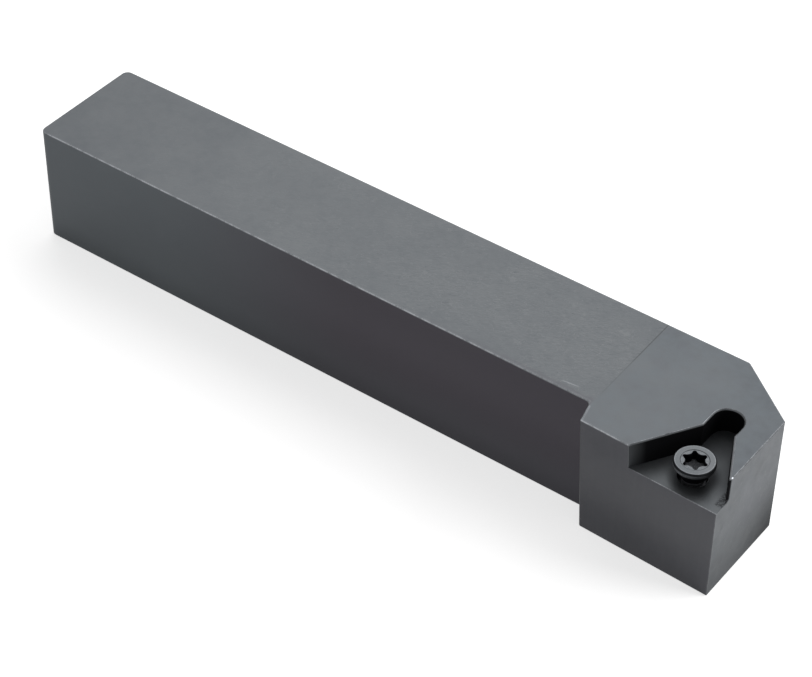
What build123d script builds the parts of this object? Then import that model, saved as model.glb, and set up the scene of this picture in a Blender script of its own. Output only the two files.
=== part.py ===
from build123d import *
import os
from math import atan2, cos, degrees, radians, sin, sqrt, tan

# Left-hand turning tool holder: a square steel shank whose head carries an open seat for a
# triangular indexable insert, and the countersunk screw that clamps the insert.
#
# Working frame, in millimetres: X = 0 is the rear end and +X points at the cutting end, Y = 0 is
# the middle of the shank, the back datum side is at +Y and the cutting side at -Y, Z = 0 is the
# base. The parts are written about the bottom centre of the holder's bounding box.
# A heading is the direction a face looks in plan, in degrees from +X. A lean is positive where
# the face also looks up, and negative where it is undercut.

# ---- Shank -------------------------------------------------------------------------------
SHANK_WIDTH = 20.0
SHANK_HEIGHT = 20.0
REAR_CORNER_RADIUS = 1.2
EDGE_BREAK = 0.15

# ---- Head --------------------------------------------------------------------------------
HOLDER_LENGTH = 125.0  # rear end to the insert's nose
NOSE_OVERHANG = 5.0  # cutting side of the shank to the insert's nose
FRONT_SETBACK = 1.3  # insert's nose to the front face, at its top edge
SIDE_SETBACK = 0.62  # insert's nose to the head's side, at the seat floor
HEAD_LENGTH = 23.08  # front face back to the foot of the step
STEP_HEADING = -166.4
STEP_LEAN = -2.6
STEP_FILLET = 0.8
SIDE_HEADING = -91.75
SIDE_LEAN = -1.2  # the side and the front are undercut a little, to clear the workpiece
FRONT_LEAN = -0.57
BEVEL_LENGTH = 9.95  # far front corner, along the shank
BEVEL_WIDTH = 7.4  # far front corner, across the shank

# ---- Insert seat -------------------------------------------------------------------------
INSERT_CIRCLE = 9.525  # inscribed circle of the triangular insert
INSERT_THICKNESS = 3.97
INSERT_NOSE_RADIUS = 0.8
INSERT_LEAD = 1.5  # the cutting edge's turn from the shank's line, in degrees
SEAT_CLEARANCE = 0.02
SEAT_WALL_LEAN = 2.5
FRONT_WALL_RELIEF = 2.0  # the front wall opens this much, so the insert bears near the corner
RIM_CHAMFER = 0.22
RELIEF_DIAMETER = 4.4
RELIEF_SETBACK = 1.3  # the insert's far corner back to the relief's centre
TIP_LENGTH = 4.0  # middle of the insert's front edge to the blunted tip of the front wall
TIP_HEADING = -44.0
TIP_FILLET = 0.4

# ---- Screw and its hole ------------------------------------------------------------------
THREAD_DIAMETER = 4.0
THREAD_PITCH = 0.7
THREAD_CLEARANCE = 0.05  # radial, between the screw's thread and the hole's
THREAD_SPARE = 1.77  # threaded hole beyond the screw's tip
DRILL_SPARE = 1.7  # drilled hole beyond its thread, to the shoulder of the drill point
DRILL_POINT_ANGLE = 118.0
MOUTH_CHAMFER = 0.2
SCREW_LENGTH = 10.5
SCREW_STANDOFF = 0.5  # seat floor to the foot of the head's cone
HEAD_DIAMETER = 5.85
HEAD_BAND = 0.78  # height of the head's straight side
HEAD_ROUND = 0.2
CONE_ANGLE = 60.0
TIP_CHAMFER = 0.4
SOCKET_SIZE = 3.4  # across the points of the six-lobe socket
FLAT_SHARE = 0.706  # across its flats, as a share of that size
LOBE_SHARE = 0.08  # radius of its lobes, as a share of that size
SOCKET_DEPTH = 1.4
SOCKET_CHAMFER = 0.1
SOCKET_TURN = 3.0  # direction of the first lobe, in degrees from +X
DISH_MARGIN = 0.2  # edge of the shallow dish beyond the socket's mouth
DISH_DEPTH = 0.05

# ---- Derived places ----------------------------------------------------------------------
BODY_LENGTH = HOLDER_LENGTH - FRONT_SETBACK
BACK_Y = SHANK_WIDTH / 2
NOSE_Y = -BACK_Y - NOSE_OVERHANG
SIDE_Y = NOSE_Y + SIDE_SETBACK
STEP_X = BODY_LENGTH - HEAD_LENGTH
SEAT_Z = SHANK_HEIGHT - INSERT_THICKNESS
OVERSIZE = 2 * max(SHANK_WIDTH + NOSE_OVERHANG, SHANK_HEIGHT)
THREAD_RADIUS = THREAD_DIAMETER / 2 - THREAD_CLEARANCE
CONE_HEIGHT = (HEAD_DIAMETER / 2 - THREAD_RADIUS) / tan(radians(CONE_ANGLE / 2))
HEAD_TOP = SCREW_STANDOFF + CONE_HEIGHT + HEAD_BAND  # above the seat floor


def seat_centre() -> Vector:
    """Middle of the insert, in plan, from the two tangents of its nose radius."""
    half = radians(30 + INSERT_LEAD)  # the nose's bisector, from the shank's line
    back = INSERT_CIRCLE - 2 * INSERT_NOSE_RADIUS  # to the nose radius's own centre
    nose_x = HOLDER_LENGTH - INSERT_NOSE_RADIUS
    nose_y = NOSE_Y + INSERT_NOSE_RADIUS
    return Vector(nose_x - back * cos(half), nose_y + back * sin(half))


SEAT = seat_centre()
REAR_WALL_HEADING = 150 - INSERT_LEAD
FRONT_WALL_HEADING = 30 - INSERT_LEAD
STEP_FOOT = (STEP_X, -BACK_Y, SHANK_HEIGHT / 2)
NOSE = (BODY_LENGTH, SIDE_Y, SHANK_HEIGHT / 2)


def facing(point: Vector, heading: float, lean: float = 0.0) -> Plane:
    """Plane through a point whose normal has a heading in plan and a lean."""
    level, turn = cos(radians(lean)), radians(heading)
    return Plane(point, z_dir=(level * cos(turn), level * sin(turn), sin(radians(lean))))


def from_seat(heading: float, distance: float) -> Vector:
    """Point at the shank's top level, in plan by heading and distance from the insert's middle."""
    offset = Vector(distance, 0).rotate(Axis.Z, heading)
    return SEAT + offset + Vector(0, 0, SHANK_HEIGHT)


def trimmed(block: Part, *faces: Plane) -> Part:
    """Block with everything that lies outside each face cut away."""
    for face in faces:
        block = split(block, bisect_by=face, keep=Keep.BOTTOM)
    return block


def blank() -> Part:
    """Shank and head in one piece, before the seat is cut."""
    low_centre = (Align.MIN, Align.CENTER, Align.MIN)
    shank = Box(BODY_LENGTH - HEAD_LENGTH / 2, SHANK_WIDTH, SHANK_HEIGHT, align=low_centre)
    low_corner = (Align.MAX, Align.MAX, Align.MIN)
    head = Pos(BODY_LENGTH, BACK_Y) * Box(OVERSIZE, OVERSIZE, SHANK_HEIGHT, align=low_corner)
    head = trimmed(
        head,
        facing(Vector(BODY_LENGTH, 0, SHANK_HEIGHT), 0, FRONT_LEAN),
        facing(Vector(BODY_LENGTH, SIDE_Y, SEAT_Z), SIDE_HEADING, SIDE_LEAN),
        facing(Vector(STEP_X, -BACK_Y, SHANK_HEIGHT), STEP_HEADING, STEP_LEAN),
    )
    bevel_heading = degrees(atan2(BEVEL_LENGTH, BEVEL_WIDTH))
    body = trimmed(shank + head, facing(Vector(BODY_LENGTH - BEVEL_LENGTH, BACK_Y), bevel_heading))

    body = fillet(upright(body).group_by(Axis.X)[0], REAR_CORNER_RADIUS)
    body = fillet(upright(body).sort_by_distance(STEP_FOOT)[0], STEP_FILLET)
    nose = upright(body).sort_by_distance(NOSE)[0]
    smooth = upright(body).sort_by_distance(STEP_FOOT)[:2] + upright(body).sort_by(Axis.X)[:4]
    kept = [nose, *smooth]
    broken = [edge for edge in body.edges() if not any(edge.is_same(other) for other in kept)]
    return chamfer(broken, EDGE_BREAK)


def upright(body: Part) -> ShapeList[Edge]:
    """Edges that run from the base to the top."""
    return body.edges().filter_by(lambda edge: abs((edge @ 1 - edge @ 0).Z) > SHANK_HEIGHT / 2)


def seat() -> Part:
    """All that the insert seat takes out of the head: pocket, corner relief and tip."""
    on_floor = (Align.CENTER, Align.CENTER, Align.MIN)
    above = Pos(SEAT.X, SEAT.Y, SEAT_Z) * Box(OVERSIZE, OVERSIZE, OVERSIZE, align=on_floor)
    touch = INSERT_CIRCLE / 2 + SEAT_CLEARANCE
    front_touch = from_seat(FRONT_WALL_HEADING, touch)
    rear_wall = facing(from_seat(REAR_WALL_HEADING, touch), REAR_WALL_HEADING, -SEAT_WALL_LEAN)
    front_wall = facing(front_touch, FRONT_WALL_HEADING - FRONT_WALL_RELIEF, -SEAT_WALL_LEAN)
    pocket = trimmed(above, rear_wall, front_wall)

    relief_reach = INSERT_CIRCLE - RELIEF_SETBACK
    to_seat = (Align.CENTER, Align.MAX, Align.MIN)
    slot = Cylinder(RELIEF_DIAMETER / 2, OVERSIZE, align=on_floor)
    slot += Box(RELIEF_DIAMETER, relief_reach, OVERSIZE, align=to_seat)
    slot = Pos(SEAT.X, SEAT.Y + relief_reach, SEAT_Z) * slot

    tip = front_touch + Vector(TIP_LENGTH, 0).rotate(Axis.Z, FRONT_WALL_HEADING - 90)
    beyond_tip = trimmed(above, facing(tip, TIP_HEADING + 180))
    foot = beyond_tip.edges().sort_by_distance(tip - Vector(0, 0, INSERT_THICKNESS))[0]
    return pocket + slot + fillet(foot, TIP_FILLET)


def screw_hole() -> Part:
    """Blind threaded hole in the seat floor, with its drill point and mouth chamfer."""
    radius, drill = THREAD_DIAMETER / 2, (THREAD_DIAMETER - THREAD_PITCH) / 2
    thread_end = HEAD_TOP - SCREW_LENGTH - THREAD_SPARE
    shoulder = thread_end - DRILL_SPARE
    point = shoulder - drill / tan(radians(DRILL_POINT_ANGLE / 2))
    outline = Polyline(
        (0, MOUTH_CHAMFER),
        (radius + MOUTH_CHAMFER, MOUTH_CHAMFER),
        (radius + MOUTH_CHAMFER, 0),
        (radius, -MOUTH_CHAMFER),
        (radius, thread_end),
        (drill, thread_end),
        (drill, shoulder),
        (0, point),
        close=True,
    )
    return Pos(SEAT.X, SEAT.Y, SEAT_Z) * revolve(Plane.XZ * make_face(outline), Axis.Z)


def holder_body() -> Part:
    """The holder as machined: one piece of steel."""
    stock = blank()
    cutter = seat()
    body = stock - cutter
    rim = new_edges(stock, cutter, combined=body).filter_by_position(
        Axis.Z, SHANK_HEIGHT, SHANK_HEIGHT
    )
    body = chamfer(rim, RIM_CHAMFER)
    return body - screw_hole()


def socket() -> Part:
    """Six-lobe socket, its mouth at Z = 0: round lobes joined by round flutes."""
    reach = SOCKET_SIZE / 2
    flat, round_lobe = FLAT_SHARE * reach, LOBE_SHARE * SOCKET_SIZE
    lobe_at = reach - round_lobe
    # Radius of the flutes, each of which is tangent to the lobes on both sides of it.
    flute = (lobe_at**2 + flat**2 - sqrt(3) * lobe_at * flat - round_lobe**2) / (
        2 * round_lobe - 2 * flat + sqrt(3) * lobe_at
    )
    arcs = []
    for index in range(6):
        turn = SOCKET_TURN + 60 * index
        lobe = Vector(lobe_at, 0).rotate(Axis.Z, turn)
        flutes = [Vector(flat + flute, 0).rotate(Axis.Z, turn + side) for side in (-30, 30)]
        ends = [lobe + (centre - lobe).normalized() * round_lobe for centre in flutes]
        next_lobe = Vector(lobe_at, 0).rotate(Axis.Z, turn + 60)
        following = next_lobe + (flutes[1] - next_lobe).normalized() * round_lobe
        point = Vector(reach, 0).rotate(Axis.Z, turn)
        hollow = Vector(flat, 0).rotate(Axis.Z, turn + 30)
        arcs += [ThreePointArc(ends[0], point, ends[1]), ThreePointArc(ends[1], hollow, following)]
    return extrude(make_face(arcs), -SOCKET_DEPTH)


def insert_screw() -> Part:
    """Clamp screw: countersunk head with a six-lobe socket, and a plain cylinder for its thread."""
    head = HEAD_DIAMETER / 2
    dish = SOCKET_SIZE / 2 + SOCKET_CHAMFER + DISH_MARGIN
    outline = Polyline(
        (0, -DISH_DEPTH),
        (dish, -DISH_DEPTH),
        (dish, 0),
        (head, 0),
        (head, -HEAD_BAND),
        (THREAD_RADIUS, -HEAD_BAND - CONE_HEIGHT),
        (THREAD_RADIUS, TIP_CHAMFER - SCREW_LENGTH),
        (THREAD_RADIUS - TIP_CHAMFER, -SCREW_LENGTH),
        (0, -SCREW_LENGTH),
        close=True,
    )
    screw = revolve(Plane.XZ * make_face(outline), Axis.Z)
    rim = screw.edges().filter_by_position(Axis.Z, 0, 0).sort_by(SortBy.RADIUS)[-1]
    screw = fillet(rim, HEAD_ROUND)
    screw -= Pos(0, 0, -DISH_DEPTH) * socket()
    in_dish = screw.edges().filter_by_position(Axis.Z, -DISH_DEPTH, -DISH_DEPTH)
    screw = chamfer(in_dish.filter_by(lambda edge: edge.radius < dish), SOCKET_CHAMFER)
    return Pos(SEAT.X, SEAT.Y, SEAT_Z + HEAD_TOP) * screw


to_origin = Pos(-BODY_LENGTH / 2, -(BACK_Y + SIDE_Y) / 2)
os.makedirs("parts", exist_ok=True)
for build in (holder_body, insert_screw):
    piece = to_origin * build()
    piece.label = build.__name__
    export_step(piece, f"parts/{build.__name__}.step")
    print(build.__name__, round(piece.volume, 1), piece.bounding_box())
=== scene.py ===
"""Turning tool holder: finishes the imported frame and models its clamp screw, thread and all."""

import logging
import math
from dataclasses import dataclass
from enum import Enum
from typing import Callable, Mapping, Union

import bmesh
import bpy
from mathutils import Matrix, Vector

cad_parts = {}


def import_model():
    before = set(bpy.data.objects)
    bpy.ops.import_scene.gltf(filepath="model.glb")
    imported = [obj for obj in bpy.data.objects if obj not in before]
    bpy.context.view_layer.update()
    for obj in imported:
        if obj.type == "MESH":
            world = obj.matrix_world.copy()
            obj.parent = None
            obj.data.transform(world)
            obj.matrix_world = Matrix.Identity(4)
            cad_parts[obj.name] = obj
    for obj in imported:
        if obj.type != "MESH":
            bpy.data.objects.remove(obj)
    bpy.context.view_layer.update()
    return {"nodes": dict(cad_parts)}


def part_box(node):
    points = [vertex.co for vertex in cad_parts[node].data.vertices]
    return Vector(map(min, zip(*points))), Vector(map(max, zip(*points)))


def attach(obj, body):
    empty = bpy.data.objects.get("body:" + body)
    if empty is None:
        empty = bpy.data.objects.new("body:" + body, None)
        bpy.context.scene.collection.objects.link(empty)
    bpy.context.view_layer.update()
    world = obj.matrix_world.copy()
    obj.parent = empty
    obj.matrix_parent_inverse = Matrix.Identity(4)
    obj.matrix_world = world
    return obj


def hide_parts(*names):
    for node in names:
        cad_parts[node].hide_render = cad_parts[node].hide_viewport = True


LOG = logging.getLogger("tool_holder")
MM = 0.001
FULL_TURN = 2 * math.pi
SHARP_ANGLE = math.radians(25)
UP = Vector((0, 0, 1))

Colour = tuple[float, float, float]

# Places of a Mix node's colour sockets, whose names its other kinds of socket share.
COLOUR_A, COLOUR_B, COLOUR_RESULT = 6, 7, 2


# ---- Shader graph ------------------------------------------------------------------------


class Value:
    """A number that changes over a surface; Python's operators on it add Math nodes."""

    def __init__(self, graph: "Graph", socket: bpy.types.NodeSocket) -> None:
        """Wraps an output socket of a graph."""
        self.graph = graph
        self.socket = socket

    def math(self, operation: str, *operands: "Operand") -> "Value":
        """Adds one Math node.

        Args:
            operation: The node's operation, as Blender names it.
            operands: The node's inputs in order, numbers or values.

        Returns:
            The node's output.
        """
        inputs = dict(enumerate(operands))
        return self.graph.node("ShaderNodeMath", {"operation": operation}, inputs)

    def __add__(self, other: "Operand") -> "Value":
        """Sum."""
        return self.math("ADD", self, other)

    def __sub__(self, other: "Operand") -> "Value":
        """Difference."""
        return self.math("SUBTRACT", self, other)

    def __rsub__(self, other: "Operand") -> "Value":
        """Difference from a number."""
        return self.math("SUBTRACT", other, self)

    def __mul__(self, other: "Operand") -> "Value":
        """Product."""
        return self.math("MULTIPLY", self, other)

    def __abs__(self) -> "Value":
        """Size without its sign."""
        return self.math("ABSOLUTE", self)

    __radd__ = __add__
    __rmul__ = __mul__

    def root(self) -> "Value":
        """Square root."""
        return self.math("SQRT", self)

    def at_least(self, other: "Operand") -> "Value":
        """The larger of this and another."""
        return self.math("MAXIMUM", self, other)

    def at_most(self, other: "Operand") -> "Value":
        """The smaller of this and another."""
        return self.math("MINIMUM", self, other)

    def fade(self, start: float, end: float) -> "Value":
        """Smooth step from 1 at start to 0 at end.

        Args:
            start: Where the result is still 1.
            end: Where it has reached 0; it may lie on either side of start.

        Returns:
            The mask.
        """
        settings = {"interpolation_type": "SMOOTHSTEP"}
        low, high, zero, one = (start, end, 1.0, 0.0) if start < end else (end, start, 0.0, 1.0)
        inputs = {"Value": self, "From Min": low, "From Max": high, "To Min": zero, "To Max": one}
        return self.graph.node("ShaderNodeMapRange", settings, inputs)


Operand = Union[Value, float]
Input = Union[Value, bpy.types.NodeSocket, float, tuple]


class Graph:
    """The node tree of one material or of the world."""

    def __init__(self, tree: bpy.types.NodeTree) -> None:
        """Takes a tree and empties it."""
        self.tree = tree
        tree.nodes.clear()

    def add(
        self,
        kind: str,
        settings: Mapping[str, object] | None = None,
        inputs: Mapping[str | int, Input] | None = None,
    ) -> bpy.types.Node:
        """Adds a node of any type.

        Args:
            kind: The node's type.
            settings: Its properties, which are set first.
            inputs: Values or links of its sockets, by name or place.

        Returns:
            The node.
        """
        made = self.tree.nodes.new(kind)
        for name, setting in (settings or {}).items():
            setattr(made, name, setting)
        for name, given in (inputs or {}).items():
            if isinstance(given, Value):
                self.tree.links.new(given.socket, made.inputs[name])
            else:
                made.inputs[name].default_value = given
        return made

    def node(
        self,
        kind: str,
        settings: Mapping[str, object] | None = None,
        inputs: Mapping[str | int, Input] | None = None,
        output: str | int = 0,
    ) -> Value:
        """Adds a node, as add() does, and returns one of its outputs.

        Args:
            kind: The node's type.
            settings: Its properties.
            inputs: Values or links of its sockets.
            output: The output to return, by name or place.

        Returns:
            That output.
        """
        return Value(self, self.add(kind, settings, inputs).outputs[output])

    def finish(self, shader: Value, kind: str = "ShaderNodeOutputMaterial") -> None:
        """Sends a shader to the tree's output."""
        self.add(kind, {}, {"Surface": shader})

    def place(self, centre: Vector = Vector(), turn: float = 0.0) -> Value:
        """Object coordinates about a centre.

        Args:
            centre: The point that becomes the origin, in metres.
            turn: Turn of the axes about Z, in radians.

        Returns:
            The coordinates, in millimetres.
        """
        coordinates = self.node("ShaderNodeTexCoord", output="Object")
        settings = {"vector_type": "TEXTURE"}
        inputs = {
            "Vector": coordinates,
            "Location": tuple(centre),
            "Rotation": (0.0, 0.0, turn),
            "Scale": (MM, MM, MM),
        }
        return self.node("ShaderNodeMapping", settings, inputs)

    def axes(self, vector: Value) -> tuple[Value, Value, Value]:
        """X, Y and Z of a vector."""
        made = self.add("ShaderNodeSeparateXYZ", {}, {0: vector})
        return tuple(Value(self, socket) for socket in made.outputs)

    def noise(self, vector: Value, marks: "Lay", detail: float = 2.0, seed: float = 0.0) -> Value:
        """Noise about 0.5.

        Args:
            vector: Coordinates in millimetres.
            marks: Size and direction of its marks.
            detail: Octaves.
            seed: Shift that makes one noise unlike another.

        Returns:
            The noise.
        """
        scale = tuple(1 / size for size in marks.value)
        steps = {"Vector": vector, "Location": (seed, seed, seed), "Scale": scale}
        laid = self.node("ShaderNodeMapping", {"vector_type": "POINT"}, steps)
        inputs = {"Vector": laid, "Scale": 1.0, "Detail": detail}
        return self.node("ShaderNodeTexNoise", {}, inputs)

    def blend(self, mask: Value, under: Input, over: Input) -> Value:
        """Colour that goes from one to another as a mask goes from 0 to 1."""
        inputs = {"Factor": mask, COLOUR_A: under, COLOUR_B: over}
        return self.node("ShaderNodeMix", {"data_type": "RGBA"}, inputs, output=COLOUR_RESULT)


def rgba(colour: Colour) -> tuple[float, float, float, float]:
    """A colour with full alpha."""
    return (*colour, 1.0)


# ---- Finishes ----------------------------------------------------------------------------


class Lay(Enum):
    """How a face's fine marks lie, as the size of one mark in millimetres."""

    ANY = (0.22, 0.22, 0.22)
    LINES = (0.9, 0.09, 0.5)
    UPRIGHT = (0.5, 0.5, 11.0)
    MOTTLE = (1.5, 1.5, 1.5)
    PATCH = (3.2, 3.2, 3.2)
    CLOUD = (8.0, 8.0, 8.0)
    RINGS = (0.07, 0.07, 1.0)
    SPECKLE = (0.09, 0.09, 0.09)


@dataclass(frozen=True)
class Coat:
    """What one place of an oxide finish is like, each part from 0 to 1 over the surface."""

    tone: Value
    cool: Value
    plum: Value
    wear_and_glint: Value
    shade: Value
    height: Value


@dataclass(frozen=True)
class BlackOxide:
    """Satin black oxide on steel, the steel that shows where its oxide is gone, whose colour also
    paints glints, and a near black that paints shade.
    """

    deep: Colour = (0.079, 0.086, 0.094)
    pale: Colour = (0.150, 0.158, 0.164)
    cool: Colour = (0.103, 0.117, 0.129)
    plum: Colour = (0.080, 0.074, 0.086)
    bare_and_glint: Colour = (0.44, 0.455, 0.485)
    near_black: Colour = (0.008, 0.008, 0.009)
    metallic: float = 1.0
    smooth: float = 0.36
    rough: float = 0.50
    hollow_rough: float = 0.7
    relief: float = 0.010 * MM

    def shader(self, graph: Graph, coat: Coat) -> Value:
        """Builds the surface.

        Args:
            graph: The material's graph.
            coat: The masks: tone from the deepest oxide to the palest, which also carries painted
            light and shade, cool and plum for its blue and purple casts, a wear mask for steel
            where the oxide has gone and for painted glints, shade for painted shade in hollows
            and corners, which also carries dark tool marks, and height for its relief.

        Returns:
            The shader.
        """
        oxide = graph.blend(coat.tone, rgba(self.deep), rgba(self.pale))
        oxide = graph.blend(coat.cool, oxide, rgba(self.cool))
        oxide = graph.blend(coat.plum, oxide, rgba(self.plum))
        # Painted shade: the shade mask takes the oxide towards near black in hollows, corners and
        # under the screw's head.
        colour = graph.blend(coat.shade, oxide, rgba(self.near_black))
        # Steel where the oxide has gone, and painted glints and lit patches in the same colour.
        colour = graph.blend(coat.wear_and_glint, colour, rgba(self.bare_and_glint))
        roughness = self.smooth + (self.rough - self.smooth) * coat.tone
        roughness = roughness + (self.hollow_rough - roughness) * coat.shade
        relief = {"Strength": 1.0, "Distance": self.relief, "Height": coat.height}
        inputs = {
            "Base Color": colour,
            "Metallic": self.metallic,
            "Roughness": roughness,
            "Normal": graph.node("ShaderNodeBump", {}, relief),
        }
        return graph.node("ShaderNodeBsdfPrincipled", {}, inputs)


def new_material(name: str) -> tuple[bpy.types.Material, Graph]:
    """Makes an empty node material.

    Args:
        name: Its name.

    Returns:
        The material and its graph.
    """
    material = bpy.data.materials.new(name)
    material.use_nodes = True
    return material, Graph(material.node_tree)


def dress(piece: bpy.types.Object, material: bpy.types.Material) -> None:
    """Gives a piece one material all over."""
    piece.data.materials.clear()
    piece.data.materials.append(material)


# ---- Clamp screw -------------------------------------------------------------------------

Shape = Callable[[float], float]
Rim = list[bmesh.types.BMEdge]


def circle(radius: float) -> Shape:
    """Outline of one radius all round."""
    return lambda turn: radius


@dataclass(frozen=True)
class SixLobe:
    """Outline of the screw's six-lobe socket: round lobes joined by round flutes."""

    size: float = 3.4 * MM
    flat_share: float = 0.706
    lobe_share: float = 0.08
    drill_share: float = 0.33
    turn: float = math.radians(3)

    def outline(self, margin: float = 0.0) -> Shape:
        """The socket's outline.

        Args:
            margin: How far the outline is pushed out.

        Returns:
            Its radius by angle.
        """
        reach = self.size / 2
        flat, lobe = self.flat_share * reach, self.lobe_share * self.size
        lobe_at = reach - lobe
        flute = (lobe_at**2 + flat**2 - math.sqrt(3) * lobe_at * flat - lobe**2) / (
            2 * lobe - 2 * flat + math.sqrt(3) * lobe_at
        )
        flute_at = flat + flute
        sixth = FULL_TURN / 6
        across = Vector((flute_at * math.cos(sixth / 2) - lobe_at, flute_at * math.sin(sixth / 2)))
        meeting = Vector((lobe_at, 0)) + across.normalized() * lobe
        limit = math.atan2(meeting.y, meeting.x)

        def radius(turn: float) -> float:
            """Radius in one direction.

            Args:
                turn: The direction, in radians from X.

            Returns:
                The radius, in metres.
            """
            off = abs((turn - self.turn + sixth / 2) % sixth - sixth / 2)
            if off <= limit:
                side = lobe_at * math.sin(off)
                return lobe_at * math.cos(off) + math.sqrt(lobe**2 - side**2) + margin
            side = flute_at * math.sin(sixth / 2 - off)
            return flute_at * math.cos(sixth / 2 - off) - math.sqrt(flute**2 - side**2) + margin

        return radius


@dataclass
class ClampScrew:
    """The countersunk screw that stands in the empty seat."""

    head_band: float = 0.78 * MM
    head_round: float = 0.2 * MM
    round_steps: int = 6
    edge_soften: float = 0.06 * MM
    cone_angle: float = math.radians(60)
    ring_radius: float = 1.95 * MM
    ring_depth: float = 0.05 * MM
    socket: SixLobe = SixLobe()
    socket_depth: float = 1.4 * MM
    socket_chamfer: float = 0.16 * MM
    socket_point: float = 0.35 * MM
    point_radius: float = 0.05 * MM
    pitch: float = 0.7 * MM
    major_radius: float = 1.95 * MM
    minor_radius: float = 1.52 * MM
    tip_chamfer: float = 0.4 * MM
    tip_share: float = 0.9
    segments: int = 144
    finish: BlackOxide = BlackOxide(
        smooth=0.28, rough=0.42, relief=0.004 * MM, near_black=(0.003, 0.003, 0.004)
    )

    def build(self) -> bpy.types.Object:
        """Models the screw where the frame has it.

        Returns:
            The piece.
        """
        low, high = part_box("insert_screw")
        axis = (low + high) / 2
        self.head_radius = (high.x - low.x) / 2
        self.length = high.z - low.z
        self.cone_height = (self.head_radius - self.minor_radius) / math.tan(self.cone_angle / 2)
        mesh = bmesh.new()
        self._head(mesh)
        self._thread(mesh)
        bmesh.ops.recalc_face_normals(mesh, faces=mesh.faces)
        bmesh.ops.translate(mesh, verts=mesh.verts, vec=(axis.x, axis.y, high.z))
        return as_piece(mesh, "clamp_screw")

    def dress(self, screw: bpy.types.Object) -> None:
        """Gives the screw its steel.

        Args:
            screw: The screw's piece.
        """
        low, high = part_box("insert_screw")
        middle = Vector(((low.x + high.x) / 2, (low.y + high.y) / 2, high.z))
        material, graph = new_material("screw_steel")
        graph.finish(self.finish.shader(graph, ScrewCoat(self, graph, middle).coat()))
        dress(screw, material)

    def _head(self, mesh: bmesh.types.BMesh) -> None:
        """Head and socket, from the cone's foot up over the top and down to the socket's point.

        Args:
            mesh: The mesh to add to, with the middle of the head's top at its origin.
        """
        side, soften = self.head_radius, self.edge_soften
        rim = ring(mesh, self.segments, self.minor_radius, -self.head_band - self.cone_height)
        bmesh.ops.contextual_create(mesh, geom=rim)
        rim = grow(mesh, rim, circle(side - soften / 2), -self.head_band - soften)
        rim = grow(mesh, rim, circle(side), -self.head_band + soften / 2)
        for step in range(self.round_steps + 1):
            around = math.radians(90 * step / self.round_steps)
            radius = side - self.head_round * (1 - math.cos(around))
            rim = grow(mesh, rim, circle(radius), -self.head_round * (1 - math.sin(around)))
        rim = grow(mesh, rim, circle(self.ring_radius + self.ring_depth), 0.0)
        floor = -self.ring_depth
        bottom = floor - self.socket_depth
        rim = grow(mesh, rim, circle(self.ring_radius), floor)
        rim = grow(mesh, rim, self.socket.outline(self.socket_chamfer), floor)
        rim = grow(mesh, rim, self.socket.outline(), floor - self.socket_chamfer)
        rim = grow(mesh, rim, self.socket.outline(), bottom)
        rim = grow(mesh, rim, circle(self.socket.size * self.socket.drill_share), bottom)
        point = Vector((0, 0, bottom - self.socket_point))
        rim = grow(mesh, rim, circle(self.point_radius), point.z)
        bmesh.ops.pointmerge(mesh, verts=rim_verts(rim), merge_co=point)

    def _thread(self, mesh: bmesh.types.BMesh) -> None:
        """Right-hand thread, swept as one pitch of its profile and cut off at both ends.

        Args:
            mesh: The mesh to add to, with the middle of the head's top at its origin.
        """
        thread = bmesh.new()
        # The thread runs a quarter of a pitch up into the cone, and has a spare turn at each end.
        top = -self.head_band - self.cone_height + self.pitch / 4
        tip = -self.length
        turns = math.ceil((top - tip) / self.pitch) + 2
        start = tip - self.pitch
        verts = [thread.verts.new((radius, 0, start + z)) for radius, z in self._thread_profile()]
        edges = [thread.edges.new(pair) for pair in zip(verts, verts[1:])]
        steps = self.segments // 2
        bmesh.ops.spin(
            thread,
            geom=verts + edges,
            axis=UP,
            cent=(0, 0, 0),
            dvec=UP * self.pitch / steps,
            angle=FULL_TURN * turns,
            steps=steps * turns,
        )
        bmesh.ops.remove_doubles(thread, verts=thread.verts, dist=self.pitch / 1000)
        for height, outward in ((top, UP), (tip, -UP)):
            geom = [*thread.verts, *thread.edges, *thread.faces]
            bmesh.ops.bisect_plane(
                thread, geom=geom, plane_co=UP * height, plane_no=outward, clear_outer=True
            )
        self._taper(thread, top, tip)
        bmesh.ops.holes_fill(thread, edges=[edge for edge in thread.edges if edge.is_boundary])
        data = bpy.data.meshes.new("thread")
        thread.to_mesh(data)
        thread.free()
        mesh.from_mesh(data)
        bpy.data.meshes.remove(data)

    def _thread_profile(self) -> list[tuple[float, float]]:
        """One pitch of the thread's profile.

        Returns:
            Its points from the lowest up, each a radius and a height.
        """
        crest, root = self.pitch / 8, self.pitch / 4
        flank = (self.pitch - crest - root) / 2
        return [
            (self.minor_radius, 0.0),
            (self.minor_radius, root / 2),
            (self.major_radius, root / 2 + flank),
            (self.major_radius, root / 2 + flank + crest),
            (self.minor_radius, self.pitch - root / 2),
            (self.minor_radius, self.pitch),
        ]

    def _taper(self, thread: bmesh.types.BMesh, top: float, tip: float) -> None:
        """Chamfers the thread's tip, and lets it run out below the head.

        Args:
            thread: The thread's mesh.
            top: Height of its upper end.
            tip: Height of its lower end.
        """
        run_out = top - self.pitch / 2
        for vert in thread.verts:
            limit = min(
                self.major_radius - self.tip_chamfer + (vert.co.z - tip),
                self.minor_radius + max(0.0, run_out - vert.co.z),
            )
            radius = vert.co.xy.length
            if radius > limit:
                vert.co.xy *= max(limit, self.minor_radius * self.tip_share) / radius


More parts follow.
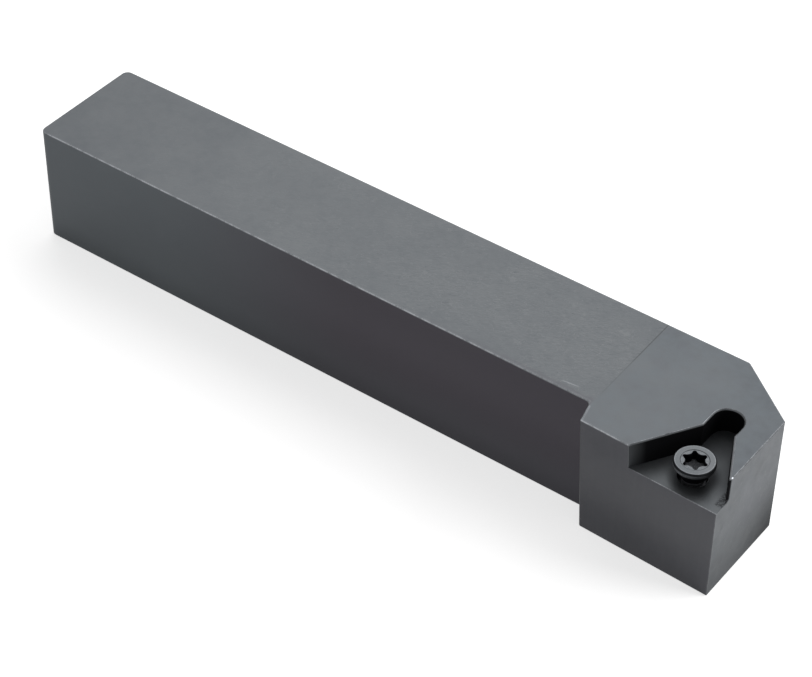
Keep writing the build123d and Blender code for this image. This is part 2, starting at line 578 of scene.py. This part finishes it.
class ScrewCoat:
    """How the oxide lies on the screw; places are in millimetres from the middle of its top."""

    def __init__(self, screw: ClampScrew, graph: Graph, middle: Vector) -> None:
        """Finds the screw's faces and makes the noises that break its finish up.

        Args:
            screw: The screw's sizes.
            graph: Its material's graph.
            middle: The middle of its top, in metres.
        """
        place = graph.place(middle)
        self.x, self.y, self.z = graph.axes(place)
        self.radius = (self.x * self.x + self.y * self.y).root()
        outward = graph.node("ShaderNodeCombineXYZ", {}, {"X": self.radius, "Y": self.z})
        self.turned = graph.noise(outward, Lay.RINGS, detail=2, seed=5) - 0.5
        self.grain = graph.noise(place, Lay.ANY, detail=3) - 0.5
        self.speckle = graph.noise(place, Lay.SPECKLE, detail=1, seed=8) - 0.5
        self.ring = screw.ring_radius / MM
        self.disc = (screw.head_radius - screw.head_round) / MM
        self._find_faces(screw)

    def _find_faces(self, screw: ClampScrew) -> None:
        """Tells the screw's faces apart by their radius and height.

        Args:
            screw: The screw's sizes.
        """
        band, depth = screw.head_band / MM, screw.socket_depth / MM
        reach = screw.socket.size / MM / 2 + 0.1
        self.up = self.z.fade(-0.15, -0.3)
        self.in_socket = self.radius.fade(reach, reach + 0.1) * self.z.fade(-0.07, -0.05)
        self.socket_floor = self.z.fade(-depth - 0.03, -depth + 0.05)
        self.under = self.z.fade(-band - 0.03, -band + 0.03)

    def coat(self) -> Coat:
        """Works out the whole coat.

        Returns:
            The coat.
        """
        tone = 0.5 + self.turned * 0.6 + self.grain * 0.5 + self.speckle * 1.2
        return Coat(
            # Painted shade darkens the near half of the disc, towards -y.
            tone=tone - self.y.fade(-2.6, 0.0) * 0.2,
            cool=self.grain * 0.2,
            plum=self.grain * 0.2,
            wear_and_glint=self._painted_highlights(),
            shade=self._shade().at_most(1.0),
            height=0.5 + self.turned,
        )

    def _painted_highlights(self) -> Value:
        """Painted highlights in the colour of steel: a line on the disc's rim, glints in the dish,
        the lit floor of the socket and the band below the rim.

        Returns:
            The mask.
        """
        # Painted highlight along the disc's rim, and painted glints in the dish.
        rim = abs(self.radius - self.disc + 0.03).fade(0.02, 0.09) * self.up
        dish = self.radius.fade(self.ring - 0.08, self.ring) * (1 - self.in_socket)
        # Painted light on the band below the rim, strongest towards -x.
        side = self.z.fade(-0.44, -0.40) * (1 - self.under) * (1 - self.in_socket)
        side = side * (0.7 * self.x.fade(-1.6, 1.0) + self.grain * 0.7)
        wear_and_glint = rim * (0.16 + self.grain * 0.5) + dish * (self.grain * 0.6).at_least(0.0)
        wear_and_glint = wear_and_glint + self.socket_floor * self.in_socket * (0.22 + self.grain * 0.4)
        return wear_and_glint + side.at_least(0.0) * 0.5

    def _shade(self) -> Value:
        """Painted shade: the groove round the dish, the socket, the rim's lee, a line below the rim
        and the cone under the head.

        Returns:
            The mask.
        """
        groove = abs(self.radius - self.ring - 0.02).fade(0.02, 0.09) * self.up
        shoulder = self.radius.fade(self.disc + 0.06, self.disc + 0.02) * self.z.fade(-0.25, -0.4)
        lip = self.z.fade(-0.22, -0.18) * self.z.fade(-0.42, -0.36) * (1 - self.in_socket)
        shade = groove * 0.5 + self.in_socket * (1 - self.socket_floor) + shoulder * 0.85
        return shade + lip * 0.5 + self.under


def ring(mesh: bmesh.types.BMesh, segments: int, radius: float, height: float) -> Rim:
    """A circle of edges about Z.

    Args:
        mesh: The mesh to add to.
        segments: Number of edges.
        radius: Its radius.
        height: Its height.

    Returns:
        Its edges.
    """
    place = Matrix.Translation((0, 0, height))
    made = bmesh.ops.create_circle(mesh, segments=segments, radius=radius, matrix=place)
    return list(dict.fromkeys(edge for vert in made["verts"] for edge in vert.link_edges))


def rim_verts(rim: Rim) -> list[bmesh.types.BMVert]:
    """The vertices of a rim's edges."""
    return list(dict.fromkeys(vert for edge in rim for vert in edge.verts))


def grow(mesh: bmesh.types.BMesh, rim: Rim, shape: Shape, height: float) -> Rim:
    """Extrudes a rim about Z to another shape and height.

    Args:
        mesh: The mesh that the rim is in.
        rim: The rim's edges.
        shape: Radius of the new rim by angle.
        height: Its height.

    Returns:
        The new rim's edges.
    """
    made = bmesh.ops.extrude_edge_only(mesh, edges=rim)["geom"]
    for vert in (item for item in made if isinstance(item, bmesh.types.BMVert)):
        turn = math.atan2(vert.co.y, vert.co.x)
        radius = shape(turn)
        vert.co = (radius * math.cos(turn), radius * math.sin(turn), height)
    return [item for item in made if isinstance(item, bmesh.types.BMEdge)]


def put_in_order(mesh: bmesh.types.BMesh) -> None:
    """Sorts a mesh by place, because the operators leave its parts in another order on each run.

    Args:
        mesh: The mesh.
    """
    parts = (
        (mesh.verts, lambda vert: vert.co),
        (mesh.edges, lambda edge: edge.verts[0].co + edge.verts[1].co),
        (mesh.faces, lambda face: face.calc_center_median()),
    )
    for sequence, place in parts:
        ranked = sorted(sequence, key=lambda item: tuple(place(item)))
        ranks = {item: rank for rank, item in enumerate(ranked)}
        sequence.sort(key=lambda item: ranks[item])


def as_piece(mesh: bmesh.types.BMesh, name: str) -> bpy.types.Object:
    """Turns a mesh into a shown piece, smooth except across sharp edges.

    Args:
        mesh: The mesh, which is freed.
        name: The piece's name.

    Returns:
        The piece.
    """
    put_in_order(mesh)
    for face in mesh.faces:
        face.smooth = True
    for edge in mesh.edges:
        edge.smooth = not edge.is_manifold or edge.calc_face_angle() < SHARP_ANGLE
    data = bpy.data.meshes.new(name)
    mesh.to_mesh(data)
    mesh.free()
    piece = bpy.data.objects.new(name, data)
    bpy.context.scene.collection.objects.link(piece)
    return piece


# ---- Holder ------------------------------------------------------------------------------


@dataclass
class Holder:
    """Shank and head, one piece of steel that the frame already holds.

    Sizes and places are in millimetres; a lean is a slope, and so is the side's taper.
    """

    shank_width: float = 20.0
    head_length: float = 23.0
    seat_depth: float = 3.97
    seat_start: float = 45.6
    seat_far: float = 3.2
    hole_place: tuple[float, float] = (55.593, -7.869)
    hole_mouth: float = 3.2
    step_turn: float = math.radians(13.6)
    side_taper: float = math.tan(math.radians(1.75))
    side_lean: float = math.tan(math.radians(1.2))
    front_lean: float = math.tan(math.radians(0.57))
    edge_break: float = 0.15
    finish: BlackOxide = BlackOxide()

    def dress(self, node: bpy.types.Object) -> None:
        """Gives the node its steel.

        Args:
            node: The holder's node in the frame.
        """
        low, high = (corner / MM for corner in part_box("holder_body"))
        self._measure(low, high)
        material, graph = new_material("holder_steel")
        graph.finish(self.finish.shader(graph, HolderCoat(self, graph).coat()))
        dress(node, material)
        LOG.info("holder: %d faces dressed", len(node.data.polygons))

    def _measure(self, low: Vector, high: Vector) -> None:
        """Places the holder's main faces.

        Args:
            low: Lowest corner of its box.
            high: Highest corner of its box.
        """
        self.front, self.near, self.back, self.top = high.x, low.y, high.y, high.z
        self.side = self.back - self.shank_width
        self.step = self.front - self.head_length
        self.seat_floor = self.top - self.seat_depth


class HolderCoat:
    """How the oxide lies on the holder; each mask is 1 on its own faces or edges.

    Places are in millimetres: x along the holder, y across it and z up from its base.
    """

    scuff_turns = (math.radians(34), math.radians(12))
    scratch_middle = (34.65, -6.33)
    scratch_turn = math.radians(7.6)
    scratch_length = 3.0
    line_place = 38.92
    line_slope = 0.016
    tip_start = 60.9
    rear_reach = (-60.0, -15.0)
    # Added to a gap where its plane bounds nothing.
    out_of_reach = 5.0

    def __init__(self, holder: Holder, graph: Graph) -> None:
        """Finds the holder's faces and makes the noises that break its finish up.

        Args:
            holder: The holder's sizes.
            graph: Its material's graph.
        """
        self.holder, self.graph = holder, graph
        place = graph.place()
        self.x, self.y, self.z = graph.axes(place)
        self._find_gaps()
        self._find_faces()
        self.cloud = graph.noise(place, Lay.CLOUD, detail=1) - 0.5
        self.patch = graph.noise(place, Lay.PATCH, detail=2, seed=5) - 0.5
        self.mottle = graph.noise(place, Lay.MOTTLE, detail=3, seed=3) - 0.5
        self.grain = graph.noise(place, Lay.ANY, detail=2, seed=7) - 0.5
        self.streaks = graph.noise(place, Lay.UPRIGHT, detail=2, seed=9) - 0.5
        self.spots = graph.noise(place, Lay.MOTTLE, detail=3, seed=21)
        self.specks = graph.noise(place, Lay.ANY, detail=1, seed=31)
        one, other = (
            graph.noise(graph.place(turn=turn), Lay.LINES, detail=2, seed=11 + turn)
            for turn in self.scuff_turns
        )
        self.scuffs = one + other - 1.0
        self.edge_breakup = (0.7 + self.mottle * 2.2 + self.grain * 1.6).at_least(0.2).at_most(1.0)

    def _find_gaps(self) -> None:
        """Works out how far inside each outer plane of the holder a place is."""
        holder, x, y, z = self.holder, self.x, self.y, self.z
        self.near_gap = (
            (y - holder.near)
            - (holder.front - x) * holder.side_taper
            - (holder.seat_floor - z) * holder.side_lean
        )
        self.front_gap = holder.front - x - (holder.top - z) * holder.front_lean
        self.back_gap = holder.back - y
        beyond_side = y.fade(holder.side - 0.6, holder.side - 0.2)
        along, across = math.cos(holder.step_turn), math.sin(holder.step_turn)
        step_gap = (x - holder.step) * along + (y - holder.side) * across
        self.step_gap = step_gap.at_least(0.0) + (1 - beyond_side) * self.out_of_reach
        past_step = x.fade(holder.step + 0.1, holder.step)
        self.side_gap = y - holder.side + past_step * self.out_of_reach

    def _find_faces(self) -> None:
        """Tells the faces and edges apart by their places and by the way they face."""
        holder, x, y, z = self.holder, self.x, self.y, self.z
        normal = self.graph.node("ShaderNodeNewGeometry", output="True Normal")
        ahead, beyond, up = self.graph.axes(normal)
        tilt = abs(up)
        level = up.fade(0.99, 0.95)
        self.upright = tilt.fade(0.2, 0.4)
        over_seat = x.fade(holder.seat_start + 0.3, holder.seat_start - 0.2)
        over_seat = over_seat * y.fade(holder.seat_far - 0.2, holder.seat_far + 0.2)
        inside = self.near_gap.at_most(self.front_gap)
        # The seat reaches down into its corner relief and hole, and stops short of its rim.
        seat = inside.fade(0.10, 0.03) * over_seat * z.fade(6.0, 5.0)
        self.seat = seat * z.fade(holder.top - 0.25, holder.top - 0.15)
        self.at_floor = abs(z - holder.seat_floor)
        self.wall = self.seat * (1 - level * self.at_floor.fade(0.05, 0.1))
        self.top = level * z.fade(holder.top - 0.05, holder.top - 0.1)
        self.head = x.fade(holder.step + 0.4, holder.step)
        self.ahead = ahead.fade(0.5, 0.3)
        self.behind = ahead.fade(-0.5, -0.3)
        self.near = self.upright * beyond.fade(-0.9, -0.8) * (1 - self.seat)
        self.front = self.upright * ahead.fade(0.9, 0.8) * (1 - self.seat)
        # Only the broken edges of the top face; those of the base are left plain.
        self.broken = tilt.fade(0.9, 0.97) * tilt.fade(0.45, 0.3) * z.fade(12.0, 10.0)
        self.seat_rim = inside.fade(0.35, 0.28) * over_seat
        edge_gap = self.side_gap.at_most(self.back_gap).at_most(self.near_gap)
        break_end = holder.edge_break + 0.11
        self.top_rim = self.top * edge_gap.at_most(self.step_gap).fade(break_end, break_end + 0.14)
        self.step_rim = self.top * self.step_gap.fade(break_end, break_end + 0.18)

    def coat(self) -> Coat:
        """Works out the whole coat.

        Returns:
            The coat.
        """
        shade = self._seat_shade() + self._edge_shade() + self._step_shadow_line() + self._tool_mark()
        cool = self.top * self.head * (0.3 + self.mottle) + self.near * (1 - self.head) * 0.6
        return Coat(
            tone=self._tone(),
            cool=cool + self.front * (0.2 - self.mottle),
            plum=self._plum(),
            wear_and_glint=self._edge_wear_and_glints() + self._scratch(),
            shade=shade.at_most(1.0),
            height=0.5 + self.grain * 0.5 + self._shank_top() * self._handled() * self.scuffs,
        )

    def _shank_top(self) -> Value:
        """The top face behind the head."""
        return self.top * (1 - self.head)

    def _handled(self) -> Value:
        """How marked the shank's top is: little at its rear end, most beside the head."""
        place = 0.2 + 0.8 * self.x.fade(25.0, -55.0)
        return place * (0.75 + self.cloud * 1.4 + self.patch * 1.4).at_least(0.2)

    def _tip(self) -> Value:
        """The blunted tip between the seat's front wall and the front face."""
        return self.x.fade(self.tip_start, self.tip_start - 0.3) * self.y.fade(-8.7, -8.4)

    def _shank_marks(self) -> Value:
        """Scuffs, hairs, flecks and dark specks that handling left on the shank's top.

        Returns:
            How much paler each mark is than the oxide round it; below 0 it is darker.
        """
        hairs = abs(self.mottle).fade(0.0, 0.02) - abs(self.patch).fade(0.0, 0.01) * 0.7
        hairs = hairs * self.grain.fade(0.06, 0.0)
        flecks = self.spots.fade(0.72, 0.64) * (0.4 + self.grain * 1.2)
        marks = self.scuffs * 1.1 + self.grain * 0.2 + hairs * 0.6
        return marks + flecks * 0.8 - self.specks.fade(0.24, 0.30) * 0.4

    def _tone(self) -> Value:
        """How pale the oxide is, with painted light and shade in it.

        Returns:
            0 for the deepest oxide to 1 for the palest.
        """
        rear = self.x.fade(*self.rear_reach)
        tone = 0.5 + self.cloud * 0.5 + self.mottle * 0.35 + self.grain * 0.15
        # The top: marked on the shank, and darker at both ends and along the head's back as painted
        # shade.
        tone = tone + self._shank_top() * self._shank_marks() * self._handled()
        tone = tone - self.top * self.x.fade(58.0, 46.0) * 0.3
        tone = tone - self.top * self.head * self.y.fade(12.0, 3.0) * 0.2
        tone = tone - self.top * rear * 0.2
        # The sides: the head streaked, and painted light makes it palest at half height and the
        # shank paler towards its foot and its rear end.
        tone = tone + self.upright * self.head * self.streaks * 0.25
        tone = tone + self.near * self.head * (abs(self.z - 11.0).fade(1.0, 7.0) * 0.45 - 0.12)
        shank = self.near * (1 - self.head)
        tone = tone + shank * (self.z.fade(4.0, 16.0) - 0.5) * (0.2 + 0.4 * self.x.fade(5.0, -20.0))
        tone = tone + self.near * rear * 0.2
        # The front: blotched; painted light makes it the palest face and painted shade darkens its
        # foot.
        blotches = self.patch * 1.8 + self.mottle * 1.6 - self.spots.fade(0.36, 0.42) * 0.4
        return tone + self.front * (1.0 - self.z.fade(0.0, 8.0) + blotches)

    def _plum(self) -> Value:
        """Purple cast of thin oxide: the near side, and a band on the top beside its edge.

        Returns:
            The mask.
        """
        shank, holder = 1 - self.head, self.holder
        # The cast thins towards the shank's rear end and its foot, which paints those parts paler
        # as painted light.
        plum_and_light_falloff = self.x.fade(2.0, -42.0) * (1 - self.z.fade(2.0, 10.0) * 0.25)
        side = self.near * (shank * plum_and_light_falloff + self.head * 0.45)
        band = (self.y - holder.side + self.mottle).fade(0.5, 1.2)
        side = side + self.top * self.head * self.patch.at_least(0.0) * 0.5
        side = side + self.front * (self.patch * 0.8).at_least(0.0)
        return side + self.top * shank * band * self.x.fade(holder.step, holder.step - 40) * 0.3

    def _seat_shade(self) -> Value:
        """Painted shade inside the seat, deepest in its corner, on its walls and in its hole, with
        a painted shadow round the hole.

        Returns:
            The mask.
        """
        across, along = (
            place - middle for place, middle in zip((self.x, self.y), self.holder.hole_place)
        )
        around = (across * across + along * along).root()
        mouth, seat_floor = self.holder.hole_mouth, self.holder.seat_floor
        hole = around.fade(mouth, mouth + 0.2) * self.z.fade(seat_floor - 0.06, seat_floor - 0.03)
        # The base below the hole keeps its oxide.
        hole = hole * self.z.fade(1.0, 0.5)
        # Painted shade: the walls darkest away from the open near side, the floor darker towards
        # its walls and corner relief, and a painted shadow round the hole.
        walls = self.wall * (0.35 + 0.57 * self.y.fade(-9.0, -12.0))
        floor = 0.08 + 0.35 * self.y.fade(-6.0, -10.5) + 0.15 * self.y.fade(-1.0, -4.0)
        floor = floor + around.fade(mouth - 0.7, mouth + 0.9) * 0.36
        return self.seat * floor + walls + hole

    def _edge_shade(self) -> Value:
        """Painted shade on stretches of the seat's rim and the front edge, at the foot and the top
        front of the shank's near side, and low on the front face.

        Returns:
            The mask.
        """
        # Painted shade breaks up the glint of edges that face ahead, except at the tip.
        gaps = self.ahead * (0.5 + self.mottle.fade(0.04, -0.04) * 0.3) * (1 - self._tip())
        gaps = gaps * (1 - self.seat_rim)
        rim = self.seat_rim * (0.15 + 0.35 * self.ahead)
        shank_side = self.near * (1 - self.head)
        foot = shank_side * self.z.fade(0.0, 4.5)
        lee = shank_side * self.z.fade(20.0, 12.0) * self.x.fade(0.0, -30.0)
        # Painted shade low on the front face, most towards its far side.
        corner = self.z.fade(0.0, 14.0) * self.y.fade(7.0, -6.0) * 0.6
        corner = corner + self.z.fade(0.0, 8.0) * 0.15
        return self.broken * (rim + gaps) + (foot + lee) * 0.12 + self.front * corner

    def _step_shadow_line(self) -> Value:
        """Fine painted shadow line across the top where the head's finish meets the shank's.

        Returns:
            The mask.
        """
        gap = self.x + self.y * self.line_slope - self.line_place
        line = abs(gap - 0.08).fade(0.03, 0.13) * self.y.fade(-4.0, -6.5)
        return self.top * line * (0.12 + 0.2 * self.y.fade(5.0, 0.0))

    def _tool_mark(self) -> Value:
        """Spots that the cutter left on the seat's floor beside the foot of the tip."""
        place = self.x.fade(self.tip_start, self.tip_start - 0.5) * self.y.fade(-10.6, -10.9)
        return self.seat * (1 - self.wall) * place * self.specks.fade(0.50, 0.40) * 0.45

    def _edge_wear_and_glints(self) -> Value:
        """Steel where the oxide has gone, and painted glints: broken edges, rims, the seat's open
        edge, nose and front.

        Returns:
            The mask.
        """
        top, z = self.holder.top, self.z
        tip = self._tip()
        # Painted glint along the top line of the broken edges: weaker on the shank near the step
        # and on edges that face ahead, strongest at the tip.
        less_glint = 0.6 * (1 - self.head) * self.x.fade(36.0, 10.0)
        upper = z.fade(top - 0.06, top - 0.14) * (0.95 + self.head * 0.2 + tip - less_glint)
        upper = upper * (1 - self.ahead * 0.8 * (1 - tip))
        edges = self.broken * (upper + 0.1) * (1 - self.seat_rim)
        # Painted glint along the open near edge of the seat's floor.
        open_edge_glint = self.near_gap.fade(0.02, 0.14) * self.at_floor.fade(0.04, 0.14)
        open_edge_glint = open_edge_glint * self.x.fade(48.6, 48.2)
        nose = (self.near_gap + self.front_gap).fade(0.04, 0.22) * (1 - self.seat)
        # Painted highlights on the top beside its broken edges and the step, and a line of wear and
        # painted glint on the nose.
        rims = self.top_rim * 0.08 + self.step_rim * 0.08
        edges = self.edge_breakup * (edges + rims + open_edge_glint * 0.4 + nose * 0.12)
        return edges + self._rim_lip_glint().at_least(0.0) + self._front_wear_and_light().at_least(0.0)

    def _rim_lip_glint(self) -> Value:
        """Painted glint along the top line of the seat's rim, most on its rear wall.

        Returns:
            The mask, below 0 where the rim keeps its oxide.
        """
        top = self.holder.top
        lip = self.z.fade(top - 0.02, top - 0.07) * (0.35 + self.mottle * 1.5 + self.grain)
        lip = lip + self.behind * self.y.fade(-1.5, -0.5) * 0.5
        return self.broken * self.seat_rim * lip

    def _front_wear_and_light(self) -> Value:
        """Thin, blotched wear over the front face, with painted light that makes it strongest
        towards its top.
        """
        height = self.z.fade(self.holder.top - 6.0, 3.0)
        return self.front * height * (0.16 + self.patch * 0.4 + self.mottle * 0.2)

    def _scratch(self) -> Value:
        """One bright scratch on the shank's top.

        Returns:
            The mask.
        """
        middle = Vector((*self.scratch_middle, 0)) * MM
        along, across, _ = self.graph.axes(self.graph.place(middle, self.scratch_turn))
        half = self.scratch_length / 2
        line = abs(along).fade(half - 0.6, half) * abs(across + self.mottle * 0.3).fade(0.03, 0.14)
        return self.top * line * 0.3 * (0.7 + self.grain)


# ---- Setting -----------------------------------------------------------------------------


@dataclass(frozen=True)
class Viewpoint:
    """Camera: its place in metres, its turns in degrees and its lens in millimetres."""

    place: tuple[float, float, float] = (0.168095, -0.225724, 0.253074)
    azimuth: float = 36.319
    elevation: float = 41.365
    roll: float = 0.614
    lens: float = 112.85
    sensor_width: float = 36.0
    nearest: float = 0.01
    farthest: float = 10.0

    def build(self) -> None:
        """Makes the camera the scene's."""
        data = bpy.data.cameras.new("camera")
        data.lens = self.lens
        data.sensor_width = self.sensor_width
        data.clip_start, data.clip_end = self.nearest, self.farthest
        camera = bpy.data.objects.new("camera", data)
        aim = Matrix.Rotation(math.radians(self.azimuth), 4, "Z")
        aim @= Matrix.Rotation(math.radians(90 - self.elevation), 4, "X")
        aim @= Matrix.Rotation(math.radians(self.roll), 4, "Z")
        camera.matrix_world = Matrix.Translation(self.place) @ aim
        bpy.context.scene.collection.objects.link(camera)
        bpy.context.scene.camera = camera


@dataclass(frozen=True)
class Softbox:
    """A square lamp that faces the middle of the object: metres and watts."""

    name: str
    place: tuple[float, float, float]
    size: float
    power: float

    def build(self) -> None:
        """Hangs the lamp."""
        data = bpy.data.lights.new(self.name, "AREA")
        data.shape, data.size, data.energy = "SQUARE", self.size, self.power
        lamp = bpy.data.objects.new(self.name, data)
        lamp.location = self.place
        lamp.rotation_mode = "QUATERNION"
        lamp.rotation_quaternion = (-Vector(self.place)).to_track_quat("-Z", "Y")
        bpy.context.scene.collection.objects.link(lamp)


@dataclass
class Studio:
    """Pale floor, pale surroundings and soft lamps."""

    sky: float = 0.3
    backdrop: float = 1.0
    floor: Colour = (0.8, 0.8, 0.8)
    floor_reach: float = 3.0
    floor_glow: float = 0.66
    gloss_share: float = 0.5
    lamps: tuple[Softbox, ...] = (
        Softbox("overhead", (-0.19, 0.5, 0.65), 0.9, 2.85),
        Softbox("side", (0.9, 0.5, 0.5), 0.7, 8.2),
    )

    def build(self) -> None:
        """Builds the floor, the world and the lamps."""
        self._world()
        self._floor()
        for lamp in self.lamps:
            lamp.build()

    @staticmethod
    def _seen(graph: Graph, gloss_share: float = 1.0) -> Value:
        """Tells the rays that show the surroundings: the camera's, glass's and gloss's.

        Args:
            graph: The graph to build in.
            gloss_share: How much of the surroundings gloss shows.

        Returns:
            1 for those rays, the share for gloss, and 0 for light on a surface.
        """
        made = graph.add("ShaderNodeLightPath")
        rays = ("Is Camera Ray", "Is Glossy Ray", "Is Transmission Ray")
        camera, gloss, glass = (Value(graph, made.outputs[name]) for name in rays)
        return camera.at_least(gloss * gloss_share).at_least(glass)

    def _world(self) -> None:
        """Even pale surroundings."""
        world = bpy.data.worlds.new("studio")
        world.use_nodes = True
        bpy.context.scene.world = world
        graph = Graph(world.node_tree)
        strength = self.sky + (self.backdrop - self.sky) * self._seen(graph)
        light = graph.node("ShaderNodeBackground", {}, {"Strength": strength})
        graph.finish(light, "ShaderNodeOutputWorld")

    def _floor(self) -> None:
        """Floor that keeps the object's shadow and is otherwise nearly white."""
        mesh = bmesh.new()
        bmesh.ops.create_grid(mesh, x_segments=1, y_segments=1, size=self.floor_reach)
        floor = as_piece(mesh, "floor")
        material, graph = new_material("floor_paper")
        matt = graph.node("ShaderNodeBsdfDiffuse", {}, {"Color": rgba(self.floor)})
        strength = self._seen(graph, self.gloss_share) * self.floor_glow
        glow = graph.node("ShaderNodeEmission", {}, {"Strength": strength})
        graph.finish(graph.node("ShaderNodeAddShader", {}, {0: matt, 1: glow}))
        dress(floor, material)


def main() -> None:
    """Builds the scene."""
    logging.basicConfig(level=logging.INFO, format="%(name)s: %(message)s")
    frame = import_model()
    bpy.context.scene.view_settings.view_transform = "Standard"
    Studio().build()
    Viewpoint().build()
    Holder().dress(frame["nodes"]["holder_body"])
    clamp_screw = ClampScrew()
    screw = clamp_screw.build()
    clamp_screw.dress(screw)
    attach(screw, "screw")
    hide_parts("insert_screw")
    LOG.info("screw: %d faces", len(screw.data.polygons))


if __name__ == "__main__":
    main()
